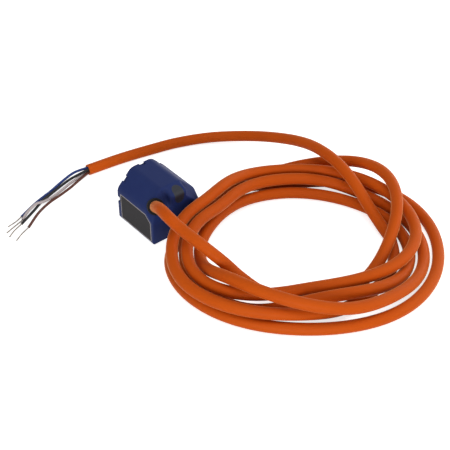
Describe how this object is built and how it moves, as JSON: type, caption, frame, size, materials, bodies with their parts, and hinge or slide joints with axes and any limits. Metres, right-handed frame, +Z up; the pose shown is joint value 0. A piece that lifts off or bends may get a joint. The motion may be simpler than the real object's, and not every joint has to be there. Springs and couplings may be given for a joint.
{
  "type": "photoelectric sensor",
  "caption": "Compact photoelectric sensor in an octagonal blue plastic housing with side-by-side optics, an indicator window, and a fixed orange cable that ends in stripped cores.",
  "frame": {"origin": "middle of the housing's base face", "axes": "+Z up out of the base, +Y along the light beam out of the optical end, -X the label side"},
  "size_m": [0.1481, 0.1594, 0.0239],
  "materials": {
    "housing_blue": "satin moulded blue plastic",
    "front_acrylic": "polished dark red acrylic",
    "black_rubber": "matte",
    "black_plastic": "matte",
    "lens_clear": "polished",
    "led_clear": "polished epoxy",
    "tinned_metal": "tinned",
    "board_green": "solder mask",
    "brass": "turned",
    "chip_parts": "fired",
    "window_grey": "smoky translucent",
    "core_blue": "extruded",
    "core_black": "extruded",
    "core_white": "extruded",
    "core_brown": "extruded",
    "label_dark": "laminated film with a light border",
    "potting_resin": "cast",
    "cable_orange": "extruded satin jacket"
  },
  "bodies": {
    "root": {"housing": "housing_blue", "front_cover": "front_acrylic", "cover_seal": "black_rubber", "lens_holder": "black_plastic", "emitter_lens": "lens_clear", "receiver_lens": "lens_clear", "emitter_led": "led_clear", "receiver_diode": "black_plastic", "receiver_shield": "tinned_metal", "optics_board": "board_green", "main_board": "board_green", "board_pins": "brass", "signal_chip": "black_plastic", "board_parts": "chip_parts", "indicator_leds": "led_clear", "light_guide": "window_grey", "cable_grommet": "black_rubber", "crimp_ring": "tinned_metal", "inner_core_blue": "core_blue", "inner_core_black": "core_black", "inner_core_white": "core_white", "inner_core_brown": "core_brown", "threaded_inserts": "brass", "label_plate": "label_dark", "potting_fill": "potting_resin", "cable_lead": "cable_orange", "cable_coil": "cable_orange", "cable_tail": "cable_orange", "core_blue": "core_blue", "core_black": "core_black", "core_white": "core_white", "core_brown": "core_brown", "tinned_ends": "tinned_metal"}
  },
  "joints": []
}
